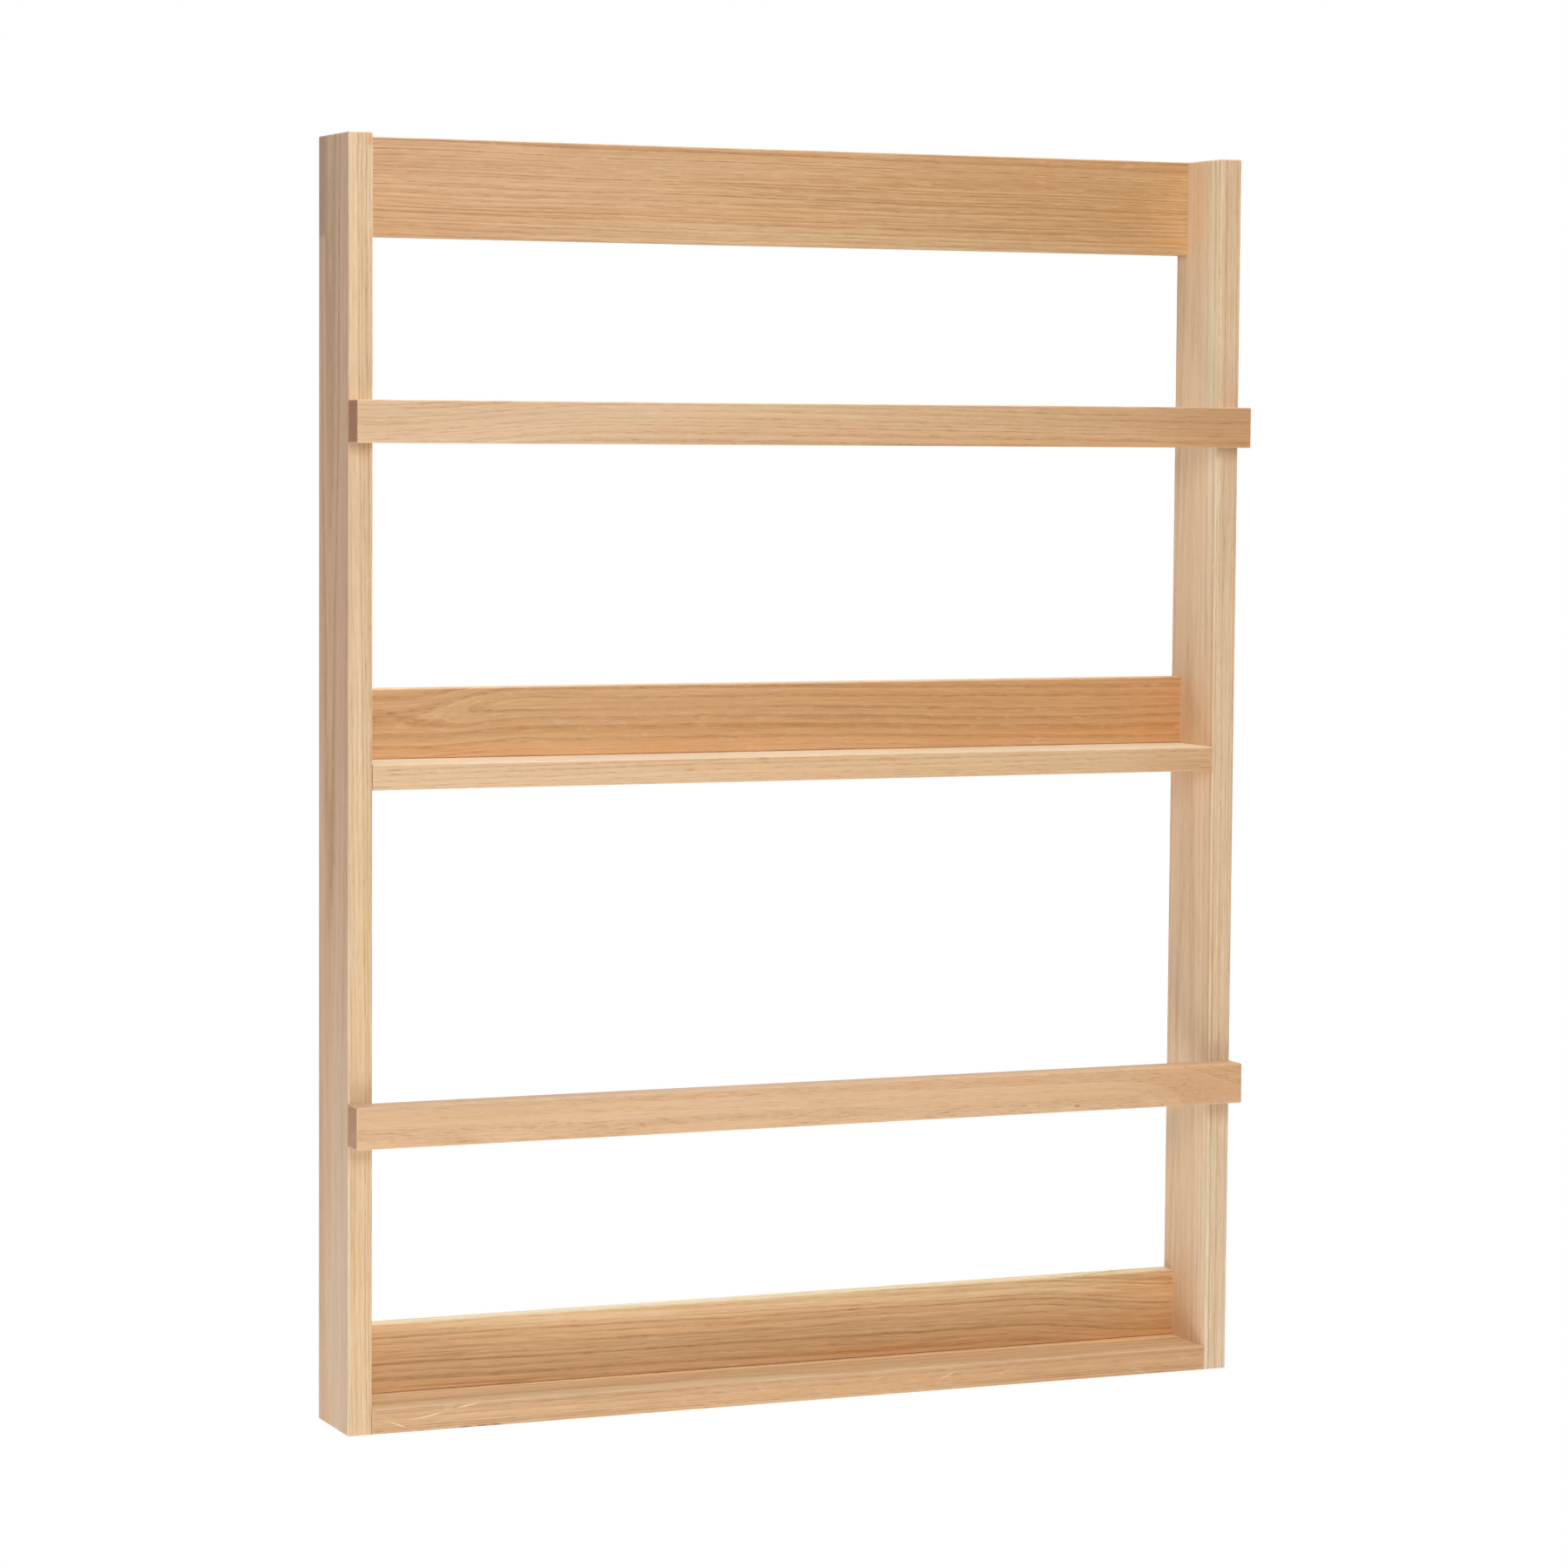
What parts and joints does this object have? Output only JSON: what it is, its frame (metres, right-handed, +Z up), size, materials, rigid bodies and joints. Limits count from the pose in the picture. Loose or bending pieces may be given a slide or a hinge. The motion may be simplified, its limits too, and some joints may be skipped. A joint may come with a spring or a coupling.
{
  "type": "wall display shelf",
  "caption": "Slim oak wall shelf with open back: uprights carry shelves with a low back rail, and front bars keep books and magazines face out.",
  "frame": {"origin": "middle of the top rail's back face, on the wall", "axes": "+Z up, +Y into the wall, so the front faces -Y, and +X to the right of someone facing the shelf"},
  "size_m": [0.7, 0.0883, 0.915],
  "materials": {
    "left_upright_oak": "matt oiled oak, straight grain running up",
    "right_upright_oak": "matt oiled oak, straight grain running up",
    "top_rail_oak": "matt oiled oak, fine straight grain along the rail",
    "back_rail_oak": "matt oiled oak, flat sawn figure along the rail",
    "shelf_oak": "matt oiled oak with pale ray flecks, grain along the shelf",
    "bar_oak": "matt oiled oak, grain along the bar",
    "dowel_beech": "raw beech",
    "zinc_plate": "zinc plated, satin",
    "screw_steel": "bright zinc plated"
  },
  "bodies": {
    "root": {"left_upright": "left_upright_oak", "right_upright": "right_upright_oak", "top_rail": "top_rail_oak", "middle_back_rail": "back_rail_oak", "bottom_back_rail": "back_rail_oak", "middle_shelf": "shelf_oak", "bottom_shelf": "shelf_oak", "upper_front_bar": "bar_oak", "lower_front_bar": "bar_oak", "middle_shelf_dowel_left_front": "dowel_beech", "middle_shelf_dowel_left_back": "dowel_beech", "middle_shelf_dowel_right_front": "dowel_beech", "middle_shelf_dowel_right_back": "dowel_beech", "bottom_shelf_dowel_left_front": "dowel_beech", "bottom_shelf_dowel_left_back": "dowel_beech", "bottom_shelf_dowel_right_front": "dowel_beech", "bottom_shelf_dowel_right_back": "dowel_beech", "middle_back_rail_dowel_left_lower": "dowel_beech", "middle_back_rail_dowel_left_upper": "dowel_beech", "middle_back_rail_dowel_right_lower": "dowel_beech", "middle_back_rail_dowel_right_upper": "dowel_beech", "bottom_back_rail_dowel_left_lower": "dowel_beech", "bottom_back_rail_dowel_left_upper": "dowel_beech", "bottom_back_rail_dowel_right_lower": "dowel_beech", "bottom_back_rail_dowel_right_upper": "dowel_beech", "top_rail_dowel_left_lower": "dowel_beech", "top_rail_dowel_left_upper": "dowel_beech", "top_rail_dowel_right_lower": "dowel_beech", "top_rail_dowel_right_upper": "dowel_beech", "upper_front_bar_dowel_left_lower": "dowel_beech", "upper_front_bar_dowel_left_upper": "dowel_beech", "upper_front_bar_dowel_right_lower": "dowel_beech", "upper_front_bar_dowel_right_upper": "dowel_beech", "lower_front_bar_dowel_left_lower": "dowel_beech", "lower_front_bar_dowel_left_upper": "dowel_beech", "lower_front_bar_dowel_right_lower": "dowel_beech", "lower_front_bar_dowel_right_upper": "dowel_beech", "left_hanger_plate": "zinc_plate", "right_hanger_plate": "zinc_plate", "left_hanger_screw_lower": "screw_steel", "left_hanger_screw_upper": "screw_steel", "right_hanger_screw_lower": "screw_steel", "right_hanger_screw_upper": "screw_steel"}
  },
  "joints": []
}
